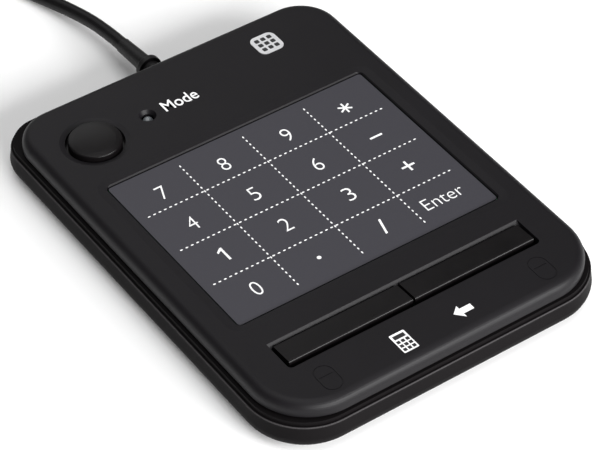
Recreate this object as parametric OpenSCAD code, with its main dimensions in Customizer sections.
// Touch keypad: a slim desk case with a printed touch panel, a mode button,
// two bar keys and a tied-up USB cord.
// Millimetres. Origin on the desk under the middle of the case, +Y towards the cord, +Z up.

/* [Case] */
// Width of the upper case at the seam
case_w = 94.8; // [90:0.2:120]
// Length of the upper case at the seam, front to back
case_l = 126; // [124:0.2:160]
// Height of the flat top above the desk
case_h = 14; // [13.6:0.1:17]
// Corner radius at the front, seen from above
front_r = 16; // [12:0.5:20]
// Corner radius at the back, seen from above
back_r = 11; // [10:0.5:16]
// Radius of the rolled top edge
edge_r = 2.6; // [1.5:0.1:3]
// How far the lower case stands out past the upper case at its sides
side_out = 1.8; // [1:0.1:3]
// How far the lower case stands out past the upper case at its front
front_out = 1.4; // [1:0.1:3]
// How far the lower case stands out past the upper case at its back
back_out = 3.8; // [2:0.1:5]
// How far the wall of the lower case flares out below its lip
flare = 0.4; // [0.2:0.1:0.6]
// Radius that rolls the lower case under
under_r = 3.8; // [2:0.1:4.4]
// Height of the parting line above the desk
seam_z = 9.9; // [9.5:0.1:10.4]
// Thickness of the top plate
top_t = 1.6; // [1.4:0.1:2]
// Thickness of the floor plate
floor_t = 1.8; // [1.4:0.1:2.2]

/* [Touch panel] */
// Width of the touch panel
panel_w = 77; // [60:0.5:78]
// Depth of the touch panel, front to back
panel_d = 58; // [46:0.5:60]
// Distance of the panel's middle behind the case's middle
panel_y = -1.7; // [-3:0.1:0]
// How far the panel lies below the flat top
panel_sink = 0.6; // [0.4:0.1:0.8]
// Gap between the touch panel and its window
panel_gap = 0.35; // [0.1:0.05:0.4]
// Width of the shallow bevel round the panel
bevel_w = 3; // [1:0.1:3.4]
// Depth of the shallow bevel round the panel
bevel_d = 0.2; // [0.1:0.05:0.3]

/* [Mode button] */
// Diameter of the mode button
mode_d = 13.8; // [10:0.1:15]
// Place of the mode button to the side of the middle
mode_x = -31.9; // [-33:0.1:-26]
// Place of the mode button behind the middle
mode_y = 43.6; // [42.6:0.1:45]
// Travel of the mode button
mode_travel = 0.4; // [0.2:0.05:0.5]
// Gap round the mode button
mode_gap = 0.8; // [0.4:0.1:1.4]

/* [Bar keys] */
// Width of the pocket that holds both bar keys
pocket_w = 74.2; // [60:0.2:78]
// Depth of the key pocket, front to back
pocket_d = 8.7; // [8.2:0.1:9.6]
// Distance of the pocket's back edge in front of the middle
pocket_y = -40.8; // [-42:0.1:-39.4]
// Gap between the two bar keys
key_split = 0.7; // [0.3:0.1:1]
// Gap between the bar keys and the pocket's ends
end_gap = 1; // [0.6:0.1:1.2]
// Gap in front of the bar keys
front_gap = 1.6; // [0.8:0.1:1.8]
// Turn of a bar key when pressed, in degrees
key_turn = 3; // [1:0.5:3]

/* [Cord] */
// Diameter of the cord
cord_d = 3.8; // [3:0.1:3.9]
// Place of the cord exit to the side of the middle
cord_x = -1.2; // [-2:0.1:2]
// Height of the cord exit above the desk
cord_z = 7.5; // [7:0.1:7.5]

/* [Fits] */
// Clearance between parts that slot together
fit = 0.2; // [0.1:0.05:0.3]
// Radial clearance of the key hinge pins in their lugs
pin_fit = 0.06; // [0.03:0.01:0.1]

/* [Hidden] */
$fn = 48;

// Shell levels
foot_h = 0.8;
floor_z = foot_h + floor_t;
under_top = case_h - top_t;
wall_t = 1.7;
half_w = case_w / 2;
// The origin is in the middle of the lower case, so the upper case sits a little forward
upper_front = front_out - (case_l + front_out + back_out) / 2;
upper_back = upper_front + case_l;
low_w = half_w + side_out;
low_l = upper_back + back_out;
low_front_r = front_r + 0.3;
low_back_r = back_r;
ring_in = 8;
groove = 0.7;
lip_top = seam_z - groove / 2 - 0.05;
upper_bottom = seam_z + groove / 2 - 0.05;
tongue_out = wall_t + fit;
tongue_in = tongue_out + 1;
tongue_top = upper_bottom + 1;
shell_in = 2.2;
ledge_t = 1.8;
lip_t = 0.8;
lip_z = lip_top - 1.2;
step_in = flare + 0.65;

// Screws and posts
screw_r = 1.2;
screw_head_r = 2.1;
screw_head_t = 1.3;
boss_r = 3;
boss_meet = 5;
screw_corners = [[half_w - 9, upper_front + 9.5], [half_w - 8, upper_back - 7]];
screw_spots = [for (side = [-1, 1], spot = screw_corners) [side * spot[0], spot[1]]];
stand_r = 2.6;
board_screw_r = 0.8;
board_screw_head_r = 1.6;
foot_r = 5;
foot_in = 0.6;
foot_spots = [for (x = [-1, 1], y = [-42, 38]) [x * (half_w - 14.9), y]];

// Boards
board_t = 1.6;
board_z = 4.4;
board_top = board_z + board_t;
board_w = case_w - 15;
board_front = upper_front + 12.8;
board_back = upper_back - 12.3;
stand_spots = [for (x = [-1, 1], y = [-30, 34]) [x * 34, y]];
panel_t = case_h - panel_sink - under_top - 0.1;
tape_t = 0.1;
sensor_t = 1;
sensor_z = under_top - sensor_t;
sensor_w = panel_w + 7;
sensor_d = panel_d + 4;
post_r = 1;
post_head_r = 1.7;
post_head_t = 0.7;
post_spots = [for (x = [-1, 1], y = [-1, 1]) [x * (panel_w / 2 + 1.9), panel_y + y * panel_d / 3]];

// Switches
switch_w = 6;
switch_h = 3.5;
switch_top = board_top + switch_h;
plunger_r = 1.7;
plunger_top = switch_top + 1.5;
press_gap = 0.1;
stem_bottom = plunger_top + press_gap;

// Mode button
mode_hole_r = mode_d / 2 + mode_gap;
mode_rim_z = case_h + 0.9;
mode_crown = 0.4;
mode_flange_r = mode_hole_r + 0.9;
mode_flange_t = 1;
mode_flange_top = under_top - fit;

// Mode lamp
lamp_x = mode_x + 16.2;
lamp_y = mode_y + 0.8;
lamp_r = 1.5;
lamp_flange_r = 1.9;
lamp_base = board_top + 3;
lamp_top = case_h - 0.8;

// Bar keys
key_w = pocket_w / 2 - end_gap - key_split / 2;
key_back = pocket_y - 2 * fit;
key_front = pocket_y - pocket_d + front_gap;
key_rear_z = case_h - 0.1;
key_front_z = case_h + 0.3;
key_under = under_top - 0.6;
key_round = 0.6;
pivot_y = pocket_y + 3.4;
pivot_z = under_top - 1.2;
pin_r = 0.8;
lug_w = 1.6;
arm_w = 4;
arm_spots = [6, pocket_w / 2 - 6.1];
lug_r = pin_r + pin_fit + 0.5;
stop_t = 1.1;
key_mid = key_split / 2 + key_w / 2;
key_press_y = (key_back + key_front) / 2;
chamfer_w = 0.9;

// Emblem
emblem_x = 25.4;
emblem_y = upper_back - 11.2;
emblem_s = 7.4;
emblem_sink = 0.3;

// Cord, plug and coil. Route points lie on the cord's middle line.
flange_t = 1.6;
relief_start = upper_back - tongue_in - flange_t;
neck_r = 2.6;
flange_r = 4;
collar_y = low_l + 0.5;
collar_r = 3.5;
collar_l = 1.9;
boot_tilt = 5;
boot_l = 12;
boot_start = collar_y + collar_l - 0.6;
boot_end = boot_start + boot_l * cos(boot_tilt);
boot_low = cord_z - boot_l * sin(boot_tilt);
run_route = [[cord_x, boot_end, boot_low], [-1.2, 86, 5.7], [-1.6, 94, 4.7], [-2.8, 102, 3.6],
  [-4.8, 110, 2.7], [-7.4, 118, 2.1], [-10, 126, 1.9], [-12.1, 134, 1.9], [-13.3, 142, 2.2]];
tail_route = [[18, 174.5, 13.7], [26, 171.6, 11.8], [33.4, 167, 8.9], [39.8, 161.4, 6.2],
  [45, 155.4, 4.6], [48.8, 149.2, 4], [50.4, 143, 4], [50.6, 136, 4], [50.6, 134, 4]];
coil_spot = [10, 152];
coil_r = 19.7;
coil_cols = 3;
coil_rows = 4;
tie_t = 0.5;
tie_gap = 0.2;
coil_z = tie_t + tie_gap;
tie_w = 4;
plug_spot = [50.6, 134, 4];
plug_relief_l = 11;
plug_grip_l = 26;
plug_w = 15.6;
plug_h = 8;
shell_w = 12;
shell_h = 4.5;
shell_l = 12;
shell_t = 0.3;

// ---------------------------------------------------------------- outline tools

// Corner centres of an outline: x, y, radius, start angle
function corners(w, y0, y1, r0, r1) = [
  [w - r1, y1 - r1, r1, 0], [r1 - w, y1 - r1, r1, 90],
  [r0 - w, y0 + r0, r0, 180], [w - r0, y0 + r0, r0, 270]];
upper_line = corners(half_w, upper_front, upper_back, front_r, back_r);
lower_line = corners(low_w, -low_l, low_l, low_front_r, low_back_r);

function arc(c, r, a0, a1, n = 8) =
  [for (i = [0:n]) c + r * [cos(a0 + (a1 - a0) * i / n), sin(a0 + (a1 - a0) * i / n)]];

// An outline moved outwards by off
module plan(line, off) {
  for (c = line) translate([c[0], c[1]]) circle(r = c[2] + off, $fn = 96);
  polygon([for (c = line) each [
    [c[0] + (c[2] + off) * cos(c[3]), c[1] + (c[2] + off) * sin(c[3])],
    [c[0] - (c[2] + off) * sin(c[3]), c[1] + (c[2] + off) * cos(c[3])]]]);
}

// Sweeps an edge section round an outline: x is outwards from the outline, y is up
module edge_ring(line, section) {
  for (i = [0:3]) {
    c = line[i];
    d = line[(i + 1) % 4];
    a = c[3] + 90;
    run = norm([d[0] - c[0], d[1] - c[1]] + (c[2] - d[2]) * [-cos(a), -sin(a)]);
    translate([c[0], c[1], 0]) rotate([0, 0, c[3]])
      rotate_extrude(angle = 90, $fn = 96) translate([c[2], 0]) polygon(section);
    translate([c[0] + c[2] * cos(a), c[1] + c[2] * sin(a), 0]) rotate([0, 0, a])
      rotate([90, 0, 180]) linear_extrude(run) polygon([for (p = section) [-p[0], p[1]]]);
  }
}

module rounded_rect(w, d, r) {
  for (x = [-1, 1], y = [-1, 1]) translate([x * (w / 2 - r), y * (d / 2 - r)]) circle(r);
  square([w, d - 2 * r], center = true);
  square([w - 2 * r, d], center = true);
}

module stadium(w, l) {
  for (y = [-1, 1]) translate([0, y * (l - w) / 2]) circle(d = w);
  square([w, l - w], center = true);
}

// ---------------------------------------------------------------- cord tools

function unit(v) = v / norm(v);
function heading(pts, i) =
  unit(pts[min(i + 1, len(pts) - 1)] - pts[max(i - 1, 0)]);

// Tube of the given diameter along a route, with square-cut ends
module tube(pts, d, sides = 8) {
  n = len(pts);
  rings = [for (i = [0:n - 1])
    let (t = heading(pts, i), u = unit(cross(t, [0, 0, 1])), v = cross(u, t))
    for (k = [0:sides - 1]) pts[i] + d / 2 * (cos(360 * k / sides) * u + sin(360 * k / sides) * v)];
  walls = [for (i = [0:n - 2], k = [0:sides - 1])
    let (a = i * sides + k, b = i * sides + (k + 1) % sides) [a, b, b + sides, a + sides]];
  caps = [[for (k = [sides - 1:-1:0]) k], [for (k = [0:sides - 1]) (n - 1) * sides + k]];
  polyhedron(points = rings, faces = concat(walls, caps), convexity = 4);
}

// ---------------------------------------------------------------- case shells

module hinge_lugs() {
  for (side = [-1, 1], x = arm_spots, s = [-1, 1])
    translate([side * x + s * (arm_w / 2 + fit + lug_w / 2), pivot_y, pivot_z])
      difference() {
        translate([-lug_w / 2, -lug_r, -lug_r]) cube([lug_w, 2 * lug_r, under_top - pivot_z + lug_r + 0.2]);
        rotate([0, 90, 0]) cylinder(r = pin_r + pin_fit, h = lug_w + 1, center = true);
      }
}

module click_mark(x) {
  translate([x, upper_front + 7.4, case_h - 0.12]) linear_extrude(1) {
    difference() {
      stadium(5.2, 8.4);
      stadium(4.7, 7.9);
    }
    translate([0, 0.8]) square([3.6, 0.3], center = true);
  }
}

module upper_case() {
  color("#232226") {
    difference() {
      union() {
        edge_ring(upper_line, concat([[-ring_in, under_top], [-ring_in, case_h]],
          arc([-edge_r, case_h - edge_r], edge_r, 90, 0, 10),
          [[0, upper_bottom], [-wall_t, upper_bottom], [-wall_t, under_top]]));
        translate([0, 0, under_top]) linear_extrude(top_t) plan(upper_line, -ring_in);
        for (p = screw_spots) translate([p[0], p[1], boss_meet])
          cylinder(r = boss_r, h = under_top - boss_meet + 0.2);
      }
      translate([0, panel_y, under_top - 1]) linear_extrude(top_t + 2)
        rounded_rect(panel_w + 2 * panel_gap, panel_d + 2 * panel_gap, 1);
      for (step = [[panel_gap, bevel_d + 0.3, panel_gap + 0.4, bevel_d - 0.1],
        [panel_gap + 0.3, bevel_d, bevel_w, 0]]) hull() {
        translate([0, panel_y, case_h - step[1]]) linear_extrude(0.01)
          rounded_rect(panel_w + 2 * step[0], panel_d + 2 * step[0], 1 + step[0] - panel_gap);
        translate([0, panel_y, case_h - step[3]]) linear_extrude(0.01)
          rounded_rect(panel_w + 2 * step[2], panel_d + 2 * step[2], 1.4 + step[2]);
      }
      translate([mode_x, mode_y, under_top - 1]) cylinder(r = mode_hole_r, h = top_t + 2);
      translate([mode_x, mode_y, case_h - 0.35])
        cylinder(r1 = mode_hole_r + 0.1, r2 = mode_hole_r + 1.4, h = 0.36);
      translate([lamp_x, lamp_y, under_top - 1]) cylinder(r = lamp_r + 0.15, h = top_t + 2);
      translate([lamp_x, lamp_y, case_h - 1]) cylinder(r1 = lamp_r + 0.15, r2 = lamp_r + 0.8, h = 1.01);
      translate([0, pocket_y - pocket_d / 2, under_top - 1]) linear_extrude(top_t + 2)
        rounded_rect(pocket_w, pocket_d, 1.2);
      translate([-pocket_w / 2, pocket_y, case_h - chamfer_w]) rotate([90, 0, 90])
        linear_extrude(pocket_w) polygon([[-1.3, 0], [0, 0], [chamfer_w, chamfer_w],
          [chamfer_w, chamfer_w + 1], [-1.3, chamfer_w + 1]]);
      translate([emblem_x, emblem_y, case_h - emblem_sink]) linear_extrude(1)
        rounded_rect(emblem_s + 0.1, emblem_s + 0.1, 2);
      for (s = [-1, 1]) click_mark(s * (half_w - 15.9));
      for (p = screw_spots) translate([p[0], p[1], boss_meet - 1])
        cylinder(r = screw_r - 0.15, h = under_top - boss_meet);
    }
    hinge_lugs();
    for (p = post_spots) translate([p[0], p[1], sensor_z - post_head_t]) {
      cylinder(r = post_r, h = sensor_t + post_head_t + 0.2);
      cylinder(r = post_head_r, h = post_head_t);
    }
  }
}

module lower_case() {
  color("#26241f") difference() {
    union() {
      edge_ring(lower_line, concat([[-ring_in, foot_h]],
        arc([-under_r, foot_h + under_r], under_r, 270, 360, 10),
        [[-flare, lip_z - lip_t], [-flare, lip_z - 0.2], [-flare - 0.2, lip_z],
          [-step_in, lip_z], [-step_in, lip_top], [-ring_in, lip_top]]));
      translate([0, 0, foot_h]) linear_extrude(lip_top - foot_h) plan(lower_line, -ring_in);
      translate([0, 0, floor_z]) linear_extrude(tongue_top - floor_z) plan(upper_line, -tongue_out);
    }
    difference() {
      union() {
        translate([0, 0, floor_z]) linear_extrude(lip_top - ledge_t - floor_z) plan(lower_line, -shell_in);
        translate([0, 0, floor_z]) linear_extrude(tongue_top) plan(upper_line, -tongue_in);
      }
      for (p = screw_spots) translate([p[0], p[1], 0]) cylinder(r = boss_r, h = boss_meet);
      for (p = stand_spots) translate([p[0], p[1], 0]) cylinder(r = stand_r, h = board_z);
    }
    for (p = screw_spots) translate([p[0], p[1], 0]) {
      cylinder(r = screw_r + 0.2, h = boss_meet + 1);
      cylinder(r = screw_head_r + 0.3, h = foot_h + screw_head_t + 0.4);
    }
    for (p = stand_spots) translate([p[0], p[1], floor_z - 0.8]) cylinder(r = board_screw_r - 0.1, h = 4);
    for (p = foot_spots) translate([p[0], p[1], 0]) cylinder(r = foot_r + 0.1, h = foot_h + foot_in);
    translate([0, 0, foot_h - 1]) linear_extrude(1.25) rounded_rect(50.4, 30.4, 2);
    translate([cord_x, upper_back - 8, cord_z]) rotate([-90, 0, 0]) cylinder(r = neck_r, h = 16);
  }
}

// ---------------------------------------------------------------- touch panel

module touch_panel() {
  color("#3d3d45") translate([0, panel_y, under_top + tape_t]) linear_extrude(panel_t)
    rounded_rect(panel_w, panel_d, 0.8);
}

module panel_adhesive() {
  color("#b9b29a") translate([0, panel_y, under_top]) linear_extrude(tape_t)
    difference() {
      rounded_rect(panel_w - 0.6, panel_d - 0.6, 0.8);
      rounded_rect(panel_w - 10, panel_d - 10, 0.8);
    }
}

module sensor_board() {
  color("#1d4b2c") translate([0, panel_y, sensor_z]) difference() {
    linear_extrude(sensor_t) rounded_rect(sensor_w, sensor_d, 1.5);
    for (p = post_spots) translate([p[0], p[1] - panel_y, -1]) cylinder(r = post_r + 0.1, h = 4);
  }
}

module sensor_chip() {
  color("#151515") translate([-12, 6, sensor_z - 1]) {
    translate([-5, -5, 0]) cube([10, 10, 0.9]);
    for (a = [0:90:270], i = [-5:5]) rotate([0, 0, a]) translate([4.9, i * 0.8 - 0.15, 0.45])
      cube([1, 0.3, 0.55]);
  }
}

module sensor_parts() {
  color("#8a7355") for (i = [0:7])
    translate([2 + 2.6 * (i % 4), 10 - 5 * floor(i / 4), sensor_z - 0.6]) cube([1.6, 0.8, 0.6]);
}

module sensor_socket() {
  color("#e4ddc8") translate([-6, -22, sensor_z - 1.6]) difference() {
    cube([12, 4, 1.6]);
    translate([1.4, -1, 0.5]) cube([9.2, 3.6, 0.5]);
  }
}

ribbon_w = 8.6;
ribbon_t = 0.3;
ribbon_top = sensor_z - 0.95;
ribbon_low = board_top + 0.75;
ribbon_r = (ribbon_top - ribbon_low) / 2;

module ribbon_cable() {
  color("#d9d6cc") translate([-ribbon_w / 2, 0, 0]) rotate([90, 0, 90]) linear_extrude(ribbon_w)
    difference() {
      union() {
        translate([-26, (ribbon_top + ribbon_low) / 2]) circle(ribbon_r + ribbon_t / 2);
        translate([-26, ribbon_low - ribbon_t / 2]) square([5.8, 2 * ribbon_r + ribbon_t]);
      }
      translate([-26, (ribbon_top + ribbon_low) / 2]) circle(ribbon_r - ribbon_t / 2);
      translate([-26, ribbon_low + ribbon_t / 2]) square([7, 2 * ribbon_r - ribbon_t]);
    }
}

module board_socket() {
  color("#e4ddc8") translate([-6, -22, board_top]) difference() {
    cube([12, 4, 1.6]);
    translate([1.4, -1, 0.5]) cube([9.2, 3.6, 0.5]);
  }
}

// ---------------------------------------------------------------- main board

module main_board() {
  color("#1f5a33") difference() {
    translate([-board_w / 2, board_front, board_z]) cube([board_w, board_back - board_front, board_t]);
    for (p = stand_spots) translate([p[0], p[1], board_z - 1]) cylinder(r = board_screw_r + 0.25, h = 4);
  }
}

module usb_chip() {
  color("#151515") translate([12, 14, board_top]) {
    translate([-3.5, -5, 0.15]) cube([7, 10, 1.6]);
    for (s = [-1, 1], i = [-3:3]) translate([s * 4.1 - 0.75, i * 1.27 - 0.2, 0]) cube([1.5, 0.4, 0.5]);
  }
}

module crystal() {
  color("#c9c9c9") translate([24, 14, board_top]) linear_extrude(3.2) stadium(4.2, 10.4);
}

module board_parts() {
  color("#9c8262") for (i = [0:11])
    translate([-30 + 4 * (i % 6), 4 + 7 * floor(i / 6), board_top]) cube([2, 1.2, 0.7]);
  color("#2b2b2b") translate([30, 30, board_top]) cylinder(r = 2.5, h = 4);
}

module switch_body(p) {
  color("#2a2a2a") translate([p[0], p[1], board_top]) difference() {
    translate([-switch_w / 2, -switch_w / 2, 0]) cube([switch_w, switch_w, switch_h]);
    translate([0, 0, switch_h - 1.2]) cylinder(r = plunger_r + 0.1, h = 2);
  }
}

module switch_plunger(p) {
  color("#7d2f2a") translate([p[0], p[1], switch_top - 0.7]) cylinder(r = plunger_r, h = plunger_top - switch_top + 0.7);
}

mode_spot = [mode_x, mode_y];
left_spot = [-key_mid, key_press_y];
right_spot = [key_mid, key_press_y];

module mode_switch() { switch_body(mode_spot); }
module mode_plunger() { switch_plunger(mode_spot); }
module left_switch() { switch_body(left_spot); }
module left_plunger() { switch_plunger(left_spot); }
module right_switch() { switch_body(right_spot); }
module right_plunger() { switch_plunger(right_spot); }

// ---------------------------------------------------------------- buttons

module mode_button() {
  r = mode_d / 2;
  color("#211e20") translate([mode_x, mode_y, 0]) rotate_extrude($fn = 96) polygon(concat(
    [[0, stem_bottom], [1.6, stem_bottom], [1.6, mode_flange_top - 0.6],
      [r - 1.2, mode_flange_top - 0.6], [r - 1.2, mode_flange_top - mode_flange_t],
      [mode_flange_r, mode_flange_top - mode_flange_t], [mode_flange_r, mode_flange_top],
      [r, mode_flange_top]],
    arc([r - 0.5, mode_rim_z - 0.5], 0.5, 0, 80, 5),
    [for (i = [1:6]) let (x = (r - 0.5) * (1 - i / 6)) [x, mode_rim_z + mode_crown * (1 - pow(x / r, 2))]]));
}

module bar_key(side) {
  x0 = side > 0 ? key_split / 2 : -key_split / 2 - key_w;
  color("#1f1c1e") {
    difference() {
      translate([x0, 0, 0]) rotate([90, 0, 90]) linear_extrude(key_w) polygon(concat(
        [[key_back, key_under], [key_back, key_rear_z - 0.15], [key_back - 0.15, key_rear_z]],
        arc([key_front + key_round, key_front_z - key_round], key_round, 96, 180, 5),
        [[key_front, key_under]]));
      translate([x0 + 1.2, key_front + 1.2, key_under - 1])
        cube([key_w - 2.4, key_back - key_front - 2.4, 1.9]);
    }
    translate([side * key_mid, key_press_y, stem_bottom]) cylinder(r = 1.2, h = key_rear_z - 1 - stem_bottom);
    translate([x0 + 4, key_front - front_gap - 0.9, under_top - fit - stop_t])
      cube([key_w - 8, front_gap + 2.2, stop_t]);
    translate([x0 + 4, key_front + 0.1, under_top - fit - stop_t]) cube([key_w - 8, 1.1, stop_t + 1]);
    for (x = arm_spots) translate([side * x, 0, 0]) {
      translate([-arm_w / 2, key_back - 1.1, pivot_z - pin_r]) cube([arm_w, pivot_y - key_back + 1.1, 2 * pin_r]);
      translate([-arm_w / 2, key_back - 1.1, pivot_z - pin_r]) cube([arm_w, 1.1, key_under + 1 - pivot_z + pin_r]);
      translate([0, pivot_y, pivot_z]) rotate([0, 90, 0])
        cylinder(r = pin_r, h = arm_w + 2 * (fit + lug_w), center = true);
    }
  }
}

module left_key() { bar_key(-1); }
module right_key() { bar_key(1); }

// ---------------------------------------------------------------- lamp and emblem

module mode_lamp() {
  color("#dfe6ea") translate([lamp_x, lamp_y, 0]) rotate_extrude() polygon(concat(
    [[0, lamp_base], [lamp_flange_r, lamp_base], [lamp_flange_r, lamp_base + 0.9], [lamp_r, lamp_base + 0.9]],
    arc([0, lamp_top - lamp_r], lamp_r, 0, 90, 8)));
}

module lamp_legs() {
  color("#c7c7c7") for (s = [-1, 1]) translate([lamp_x + s * 1.27 - 0.25, lamp_y - 0.25, board_top])
    cube([0.5, 0.5, lamp_base - board_top]);
}

module emblem() {
  color("#dcdcdc") translate([emblem_x, emblem_y, case_h - emblem_sink]) linear_extrude(emblem_sink + 0.12)
    rounded_rect(emblem_s, emblem_s, 1.95);
}

// ---------------------------------------------------------------- inside wiring

header_y = board_back - 9;
wire_pitch = 2;

module cord_header() {
  color("#efe9d8") translate([cord_x - 5, header_y, board_top]) difference() {
    cube([10, 5, 3.4]);
    translate([1, 1, 1]) cube([8, 5, 1.8]);
  }
}

module header_plug() {
  color("#f5f2e8") translate([cord_x - 3.8, header_y + 1.4, board_top + 1.1]) cube([7.6, 5.4, 1.6]);
}

module inner_wires() {
  tints = ["#b5302a", "#e8e8e8", "#2f7d3a", "#1a1a1a"];
  from_y = header_y + 6.8;
  to_y = relief_start;
  for (i = [0:3]) {
    x = (i - 1.5) * wire_pitch;
    color(tints[i]) tube([[cord_x + x, from_y, board_top + 1.9], [cord_x + x, from_y + 1, board_top + 1.9],
      [cord_x + x * 0.7, (from_y + to_y) / 2, (board_top + 1.9 + cord_z) / 2],
      [cord_x + x * 0.45, to_y - 1, cord_z], [cord_x + x * 0.45, to_y, cord_z]], 0.8);
  }
}

// ---------------------------------------------------------------- fasteners and feet

module board_screws() {
  color("#8f9297") for (p = stand_spots) translate([p[0], p[1], floor_z]) {
    cylinder(r = board_screw_r - 0.1, h = board_top - floor_z + 0.2);
    translate([0, 0, board_top - floor_z]) difference() {
      cylinder(r = board_screw_head_r, h = 1.1);
      translate([0, 0, 0.6]) for (a = [0, 90]) rotate([0, 0, a]) translate([-1, -0.2, 0]) cube([2, 0.4, 1]);
    }
  }
}

module case_screws() {
  color("#8f9297") for (p = screw_spots) translate([p[0], p[1], foot_h + 0.4]) {
    difference() {
      cylinder(r = screw_head_r, h = screw_head_t);
      for (a = [0, 90]) rotate([0, 0, a]) translate([-1.3, -0.25, -0.1]) cube([2.6, 0.5, 0.8]);
    }
    translate([0, 0, screw_head_t - 0.1]) cylinder(r = screw_r - 0.15, h = 7.6);
  }
}

module rubber_feet() {
  color("#1b1b1b") for (p = foot_spots) translate([p[0], p[1], 0]) rotate_extrude()
    polygon([[0, 0], [foot_r - 0.3, 0], [foot_r, 0.3], [foot_r, foot_h + foot_in], [0, foot_h + foot_in]]);
}

module rating_label() {
  color("#c9c9c9") translate([0, 0, foot_h + 0.1]) linear_extrude(0.15) rounded_rect(50, 30, 1.8);
}

// ---------------------------------------------------------------- cord and plug

module strain_relief() {
  color("#242225") translate([cord_x, 0, cord_z]) {
    rotate([-90, 0, 0]) rotate_extrude() polygon(concat(
      [[0, relief_start], [flange_r, relief_start], [flange_r, relief_start + flange_t],
        [neck_r, relief_start + flange_t], [neck_r, collar_y], [collar_r, collar_y]],
      arc([collar_r - 0.7, collar_y + collar_l - 0.7], 0.7, 0, 90, 5),
      [[0, collar_y + collar_l]]));
    translate([0, boot_start, 0]) rotate([-90 - boot_tilt, 0, 0])
      cylinder(r1 = cord_d / 2 + 0.5, r2 = cord_d / 2 + 0.2, h = boot_l);
  }
}

module cord_run() { color("#1f1f21") tube(run_route, cord_d); }
module cord_tail() { color("#1f1f21") tube(tail_route, cord_d); }

module cord_coil() {
  color("#1f1f21") translate([coil_spot[0], coil_spot[1], coil_z]) rotate_extrude($fn = 96)
    translate([coil_r - coil_cols * cord_d / 2, 0]) square([coil_cols * cord_d, coil_rows * cord_d]);
}

module coil_tie() {
  w = coil_cols * cord_d + 2 * tie_gap;
  h = coil_rows * cord_d + 2 * tie_gap;
  color("#151515") translate([coil_spot[0], coil_spot[1], 0]) rotate([0, 0, -60])
    translate([coil_r, 0, coil_z + coil_rows * cord_d / 2]) rotate([90, 0, 0])
      linear_extrude(tie_w, center = true) difference() {
        rounded_rect(w + 2 * tie_t, h + 2 * tie_t, 0.7);
        rounded_rect(w, h, 0.2);
      }
}

module plug_grip() {
  color("#232325") translate(plug_spot) rotate([90, 0, 0]) {
    cylinder(r1 = cord_d / 2 + 0.3, r2 = 3.4, h = plug_relief_l + 0.5);
    translate([0, 0, plug_relief_l]) linear_extrude(plug_grip_l) rounded_rect(plug_w, plug_h, 1.6);
  }
}

module plug_shell() {
  color("#c4c7cb") translate(plug_spot) rotate([90, 0, 0])
    translate([0, 0, plug_relief_l + plug_grip_l]) linear_extrude(shell_l) difference() {
      rounded_rect(shell_w, shell_h, 0.5);
      square([shell_w - 2 * shell_t, shell_h - 2 * shell_t], center = true);
    }
}

module plug_tongue() {
  color("#ececec") translate(plug_spot) rotate([90, 0, 0])
    translate([-(shell_w / 2 - shell_t), -(shell_h / 2 - shell_t), plug_relief_l + plug_grip_l])
      cube([shell_w - 2 * shell_t, 1.84, shell_l - 0.6]);
}

module plug_contacts() {
  color("#d3ab4e") translate(plug_spot) rotate([90, 0, 0]) for (i = [-1.5:1.5])
    translate([i * 2.3 - 0.5, -(shell_h / 2 - shell_t) + 1.84, plug_relief_l + plug_grip_l + 1])
      cube([1, 0.15, shell_l - 3]);
}

upper_case();
lower_case();
touch_panel();
panel_adhesive();
sensor_board();
sensor_chip();
sensor_parts();
sensor_socket();
ribbon_cable();
board_socket();
main_board();
usb_chip();
crystal();
board_parts();
mode_switch();
mode_plunger();
left_switch();
left_plunger();
right_switch();
right_plunger();
mode_button();
left_key();
right_key();
mode_lamp();
lamp_legs();
emblem();
cord_header();
header_plug();
inner_wires();
board_screws();
case_screws();
rubber_feet();
rating_label();
strain_relief();
cord_run();
cord_coil();
coil_tie();
cord_tail();
plug_grip();
plug_shell();
plug_tongue();
plug_contacts();
